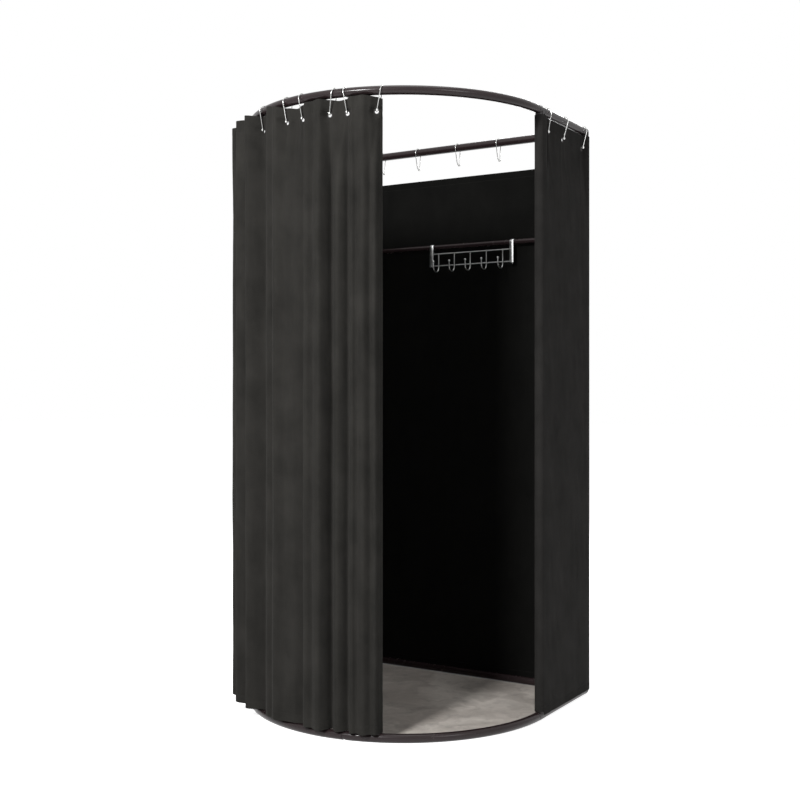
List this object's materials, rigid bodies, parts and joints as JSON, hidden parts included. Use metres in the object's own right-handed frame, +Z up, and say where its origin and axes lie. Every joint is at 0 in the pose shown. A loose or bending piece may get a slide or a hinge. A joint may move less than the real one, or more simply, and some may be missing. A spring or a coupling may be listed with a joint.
{
  "type": "portable fitting room",
  "caption": "Free-standing D-shaped fitting room: a plug-in steel tube frame with black cloth walls, a hooked curtain round its curved front, a hanging rail and a sliding hook rack.",
  "frame": {"origin": "the middle of the hoop's footprint on the floor, on the underside of the floor mat", "axes": "+Z up; -Y towards the middle of the curved front; +X towards the side where the curtain leaves the doorway open"},
  "size_m": [1.0856, 0.9578, 2.0041],
  "materials": {
    "frame_tube": "gloss dark brown-black powder coat",
    "fitting_black": "satin black powder coat",
    "hook_wire": "bright plated wire",
    "rack_wire": "plated wire and strap",
    "curtain_cloth": "matt black woven cloth",
    "wall_cloth": "matt black woven cloth",
    "mat": "mottled grey sheet"
  },
  "bodies": {
    "frame": {"lower_arc_left": "frame_tube", "lower_arc_right": "frame_tube", "upper_arc_left": "frame_tube", "upper_arc_right": "frame_tube", "lower_side_rail_left": "frame_tube", "lower_side_rail_right": "frame_tube", "upper_side_rail_left": "frame_tube", "upper_side_rail_right": "frame_tube", "lower_back_bar": "frame_tube", "upper_back_bar": "frame_tube", "front_upright_left": "frame_tube", "front_upright_right": "frame_tube", "rear_upright_left": "frame_tube", "rear_upright_right": "frame_tube", "lower_tee_left": "fitting_black", "lower_tee_right": "fitting_black", "upper_tee_left": "fitting_black", "upper_tee_right": "fitting_black", "lower_corner_left": "fitting_black", "lower_corner_right": "fitting_black", "upper_corner_left": "fitting_black", "upper_corner_right": "fitting_black", "hanging_rail": "frame_tube", "rail_socket_left": "fitting_black", "rail_socket_right": "fitting_black", "side_panel_left": "wall_cloth", "side_panel_right": "wall_cloth", "back_panel": "wall_cloth", "side_hook_left_1": "hook_wire", "side_hook_left_2": "hook_wire", "side_hook_left_3": "hook_wire", "side_hook_right_1": "hook_wire", "side_hook_right_2": "hook_wire", "side_hook_right_3": "hook_wire", "floor_mat": "mat", "curtain_hook_1": "hook_wire", "curtain_fold_1": "curtain_cloth"},
    "curtain_2": {"curtain_hook_2": "hook_wire", "curtain_fold_2": "curtain_cloth"},
    "curtain_3": {"curtain_hook_3": "hook_wire", "curtain_fold_3": "curtain_cloth"},
    "curtain_4": {"curtain_hook_4": "hook_wire", "curtain_fold_4": "curtain_cloth"},
    "curtain_5": {"curtain_hook_5": "hook_wire", "curtain_fold_5": "curtain_cloth"},
    "curtain_6": {"curtain_hook_6": "hook_wire", "curtain_fold_6": "curtain_cloth"},
    "curtain_7": {"curtain_hook_7": "hook_wire", "curtain_fold_7": "curtain_cloth"},
    "curtain_8": {"curtain_hook_8": "hook_wire", "curtain_fold_8": "curtain_cloth"},
    "curtain_9": {"curtain_hook_9": "hook_wire", "curtain_fold_9": "curtain_cloth"},
    "spare_hook_1": {"back_hook_1": "hook_wire"},
    "spare_hook_2": {"back_hook_2": "hook_wire"},
    "spare_hook_3": {"back_hook_3": "hook_wire"},
    "spare_hook_4": {"back_hook_4": "hook_wire"},
    "spare_hook_5": {"back_hook_5": "hook_wire"},
    "spare_hook_6": {"back_hook_6": "hook_wire"},
    "rack": {"hook_rack": "rack_wire"}
  },
  "joints": [
    {"name": "curtain_draw", "type": "hinge", "parent": "frame", "child": "curtain_2", "pos_m": [0, 0.07, 0], "axis": [0, 0, 1], "range_deg": [-9.6, 11.6], "deforming": ["curtain_fold_1", "curtain_fold_2", "curtain_fold_3", "curtain_fold_4", "curtain_fold_5", "curtain_fold_6", "curtain_fold_7", "curtain_fold_8", "curtain_fold_9"]},
    {"name": "curtain_spread_3", "type": "hinge", "parent": "curtain_2", "child": "curtain_3", "pos_m": [0, 0.07, 0], "axis": [0, 0, 1], "range_deg": [-8.41, 10.16]},
    {"name": "curtain_spread_4", "type": "hinge", "parent": "curtain_3", "child": "curtain_4", "pos_m": [0, 0.07, 0], "axis": [0, 0, 1], "range_deg": [-8.03, 9.7]},
    {"name": "curtain_spread_5", "type": "hinge", "parent": "curtain_4", "child": "curtain_5", "pos_m": [0, 0.07, 0], "axis": [0, 0, 1], "range_deg": [-7.55, 9.12]},
    {"name": "curtain_spread_6", "type": "hinge", "parent": "curtain_5", "child": "curtain_6", "pos_m": [0, 0.07, 0], "axis": [0, 0, 1], "range_deg": [-3.71, 4.48]},
    {"name": "curtain_spread_7", "type": "hinge", "parent": "curtain_6", "child": "curtain_7", "pos_m": [0, 0.07, 0], "axis": [0, 0, 1], "range_deg": [-5.44, 6.57]},
    {"name": "curtain_spread_8", "type": "hinge", "parent": "curtain_7", "child": "curtain_8", "pos_m": [0, 0.07, 0], "axis": [0, 0, 1], "range_deg": [-3.09, 3.73]},
    {"name": "curtain_spread_9", "type": "hinge", "parent": "curtain_8", "child": "curtain_9", "pos_m": [0, 0.07, 0], "axis": [0, 0, 1], "range_deg": [-4.96, 5.99]},
    {"name": "spare_hook_slide_1", "type": "slide", "parent": "frame", "child": "spare_hook_1", "axis": [1, 0, 0], "range_m": [-0.022, 0.05]},
    {"name": "spare_hook_slide_2", "type": "slide", "parent": "frame", "child": "spare_hook_2", "axis": [1, 0, 0], "range_m": [-0.05, 0.074]},
    {"name": "spare_hook_slide_3", "type": "slide", "parent": "frame", "child": "spare_hook_3", "axis": [1, 0, 0], "range_m": [-0.074, 0.08]},
    {"name": "spare_hook_slide_4", "type": "slide", "parent": "frame", "child": "spare_hook_4", "axis": [1, 0, 0], "range_m": [-0.08, 0.078]},
    {"name": "spare_hook_slide_5", "type": "slide", "parent": "frame", "child": "spare_hook_5", "axis": [1, 0, 0], "range_m": [-0.078, 0.078]},
    {"name": "spare_hook_slide_6", "type": "slide", "parent": "frame", "child": "spare_hook_6", "axis": [1, 0, 0], "range_m": [-0.078, 0.108]},
    {"name": "rack_slide", "type": "slide", "parent": "frame", "child": "rack", "axis": [1, 0, 0], "range_m": [-0.358, 0.22]}
  ],
  "couplings": [
    {"joint": "curtain_spread_3", "follows": "curtain_draw", "ratio": 0.875},
    {"joint": "curtain_spread_4", "follows": "curtain_draw", "ratio": 0.835},
    {"joint": "curtain_spread_5", "follows": "curtain_draw", "ratio": 0.785},
    {"joint": "curtain_spread_6", "follows": "curtain_draw", "ratio": 0.385},
    {"joint": "curtain_spread_7", "follows": "curtain_draw", "ratio": 0.565},
    {"joint": "curtain_spread_8", "follows": "curtain_draw", "ratio": 0.32},
    {"joint": "curtain_spread_9", "follows": "curtain_draw", "ratio": 0.515}
  ]
}
